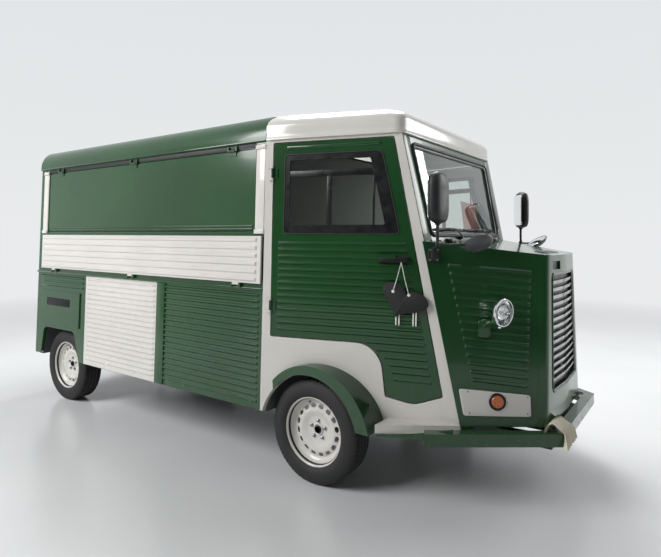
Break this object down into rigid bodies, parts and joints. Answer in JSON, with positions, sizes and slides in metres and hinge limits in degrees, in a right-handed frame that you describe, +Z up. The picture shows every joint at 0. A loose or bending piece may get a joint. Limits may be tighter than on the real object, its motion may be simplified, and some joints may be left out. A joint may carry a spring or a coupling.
{
  "type": "food truck",
  "caption": "Corrugated-panel forward-control van fitted as a food truck, with a lift-up serving hatch, a fold-down counter, hinged doors, a bonnet lid and steered wheels",
  "frame": {"origin": "on the ground under the middle of the truck's outer box", "axes": "+X forward, +Y to the truck's left, +Z up; the serving hatch is on the right side (-Y)"},
  "size_m": [4.639, 2.063, 2.36],
  "materials": {
    "green_paint": "deep green gloss enamel",
    "white_paint": "warm white gloss enamel",
    "wheel_white": "white wheel enamel",
    "chassis_black": "black chassis paint",
    "floor_grey": "grey floor paint",
    "engine_iron": "bare casting",
    "glass": "clear safety glass",
    "grille_black": "black grille with pale slats",
    "chrome": "polished",
    "amber_lens": "amber lens",
    "red_lens": "red lens",
    "black_plastic": "grained black plastic",
    "seat_fabric": "dark seat cloth",
    "tyre": "black rubber"
  },
  "bodies": {
    "truck_body": {"chassis_frame": "chassis_black", "floor_pan": "floor_grey", "engine_block": "engine_iron", "front_axle": "chassis_black", "rear_axle": "chassis_black", "side_frame_right": "green_paint", "lower_panels_right": "green_paint", "service_panel": "white_paint", "box_side_left": "green_paint", "box_roof": "green_paint", "rear_frame": "green_paint", "cab_roof": "white_paint", "cab_sides": "white_paint", "cab_front": "green_paint", "windscreen_glass": "glass", "nose_sides": "green_paint", "nose_front": "green_paint", "grille": "grille_black", "front_fenders": "green_paint", "wheel_housings": "floor_grey", "bumper": "green_paint", "headlamps": "chrome", "indicators": "amber_lens", "tail_lamps": "red_lens", "mirrors": "black_plastic", "seats": "seat_fabric", "dashboard": "black_plastic"},
    "knuckle_right": {"knuckle_right": "chassis_black"},
    "knuckle_left": {"knuckle_left": "chassis_black"},
    "steering_wheel": {"steering_wheel": "black_plastic"},
    "door_right": {"door_right": "green_paint", "door_glass_right": "glass"},
    "door_left": {"door_left": "green_paint", "door_glass_left": "glass"},
    "hatch": {"hatch": "green_paint"},
    "counter": {"counter": "white_paint"},
    "tailgate": {"tailgate": "green_paint"},
    "rear_door_right": {"rear_door_right": "green_paint"},
    "rear_door_left": {"rear_door_left": "green_paint"},
    "bonnet": {"bonnet": "green_paint"},
    "wheel_front_right": {"tyre_front_right": "tyre", "rim_front_right": "wheel_white"},
    "wheel_front_left": {"tyre_front_left": "tyre", "rim_front_left": "wheel_white"},
    "wheel_rear_right": {"tyre_rear_right": "tyre", "rim_rear_right": "wheel_white"},
    "wheel_rear_left": {"tyre_rear_left": "tyre", "rim_rear_left": "wheel_white"}
  },
  "joints": [
    {"name": "steer_right", "type": "hinge", "parent": "truck_body", "child": "knuckle_right", "pos_m": [0.9815, -0.852, 0.317], "axis": [0, 0, 1], "range_deg": [-33, 33]},
    {"name": "steer_left", "type": "hinge", "parent": "truck_body", "child": "knuckle_left", "pos_m": [0.9815, 0.852, 0.317], "axis": [0, 0, 1], "range_deg": [-33, 33]},
    {"name": "steering_wheel_turn", "type": "hinge", "parent": "truck_body", "child": "steering_wheel", "pos_m": [1.1315, 0.34, 1.38], "axis": [-0.766, 0, 0.6428], "range_deg": [-540, 540]},
    {"name": "wheel_front_right_spin", "type": "hinge", "parent": "knuckle_right", "child": "wheel_front_right", "pos_m": [0.9815, -0.87, 0.317], "axis": [0, 1, 0], "continuous": true},
    {"name": "wheel_rear_right_spin", "type": "hinge", "parent": "truck_body", "child": "wheel_rear_right", "pos_m": [-1.8725, -0.87, 0.317], "axis": [0, 1, 0], "continuous": true},
    {"name": "wheel_front_left_spin", "type": "hinge", "parent": "knuckle_left", "child": "wheel_front_left", "pos_m": [0.9815, 0.87, 0.317], "axis": [0, 1, 0], "continuous": true},
    {"name": "wheel_rear_left_spin", "type": "hinge", "parent": "truck_body", "child": "wheel_rear_left", "pos_m": [-1.8725, 0.87, 0.317], "axis": [0, 1, 0], "continuous": true},
    {"name": "door_right_swing", "type": "hinge", "parent": "truck_body", "child": "door_right", "pos_m": [0.68061, -0.99891, 1.4973], "axis": [0.0067, -0.0241, -0.9997], "range_deg": [0, 75]},
    {"name": "door_left_swing", "type": "hinge", "parent": "truck_body", "child": "door_left", "pos_m": [0.68061, 0.99891, 1.4973], "axis": [-0.0067, -0.0241, 0.9997], "range_deg": [0, 75]},
    {"name": "hatch_lift", "type": "hinge", "parent": "truck_body", "child": "hatch", "pos_m": [-0.8065, -0.99108, 2.09331], "axis": [-1, 0, 0], "range_deg": [0, 90]},
    {"name": "counter_fold", "type": "hinge", "parent": "truck_body", "child": "counter", "pos_m": [-0.802, -1.01537, 1.19734], "axis": [1, 0, 0], "range_deg": [0, 90]},
    {"name": "tailgate_lift", "type": "hinge", "parent": "truck_body", "child": "tailgate", "pos_m": [-2.3105, 0, 2.067], "axis": [0, 1, 0], "range_deg": [0, 85]},
    {"name": "rear_door_right_swing", "type": "hinge", "parent": "truck_body", "child": "rear_door_right", "pos_m": [-2.3105, -0.857, 0.82], "axis": [0, 0, 1], "range_deg": [0, 110]},
    {"name": "rear_door_left_swing", "type": "hinge", "parent": "truck_body", "child": "rear_door_left", "pos_m": [-2.3105, 0.857, 0.82], "axis": [0, 0, -1], "range_deg": [0, 110]},
    {"name": "bonnet_lift", "type": "hinge", "parent": "truck_body", "child": "bonnet", "pos_m": [1.66208, 0, 1.49791], "axis": [0, -1, 0], "range_deg": [0, 55]}
  ],
  "couplings": [
    {"joint": "steer_left", "follows": "steer_right", "ratio": 1},
    {"joint": "steering_wheel_turn", "follows": "steer_right", "ratio": 16.36}
  ]
}
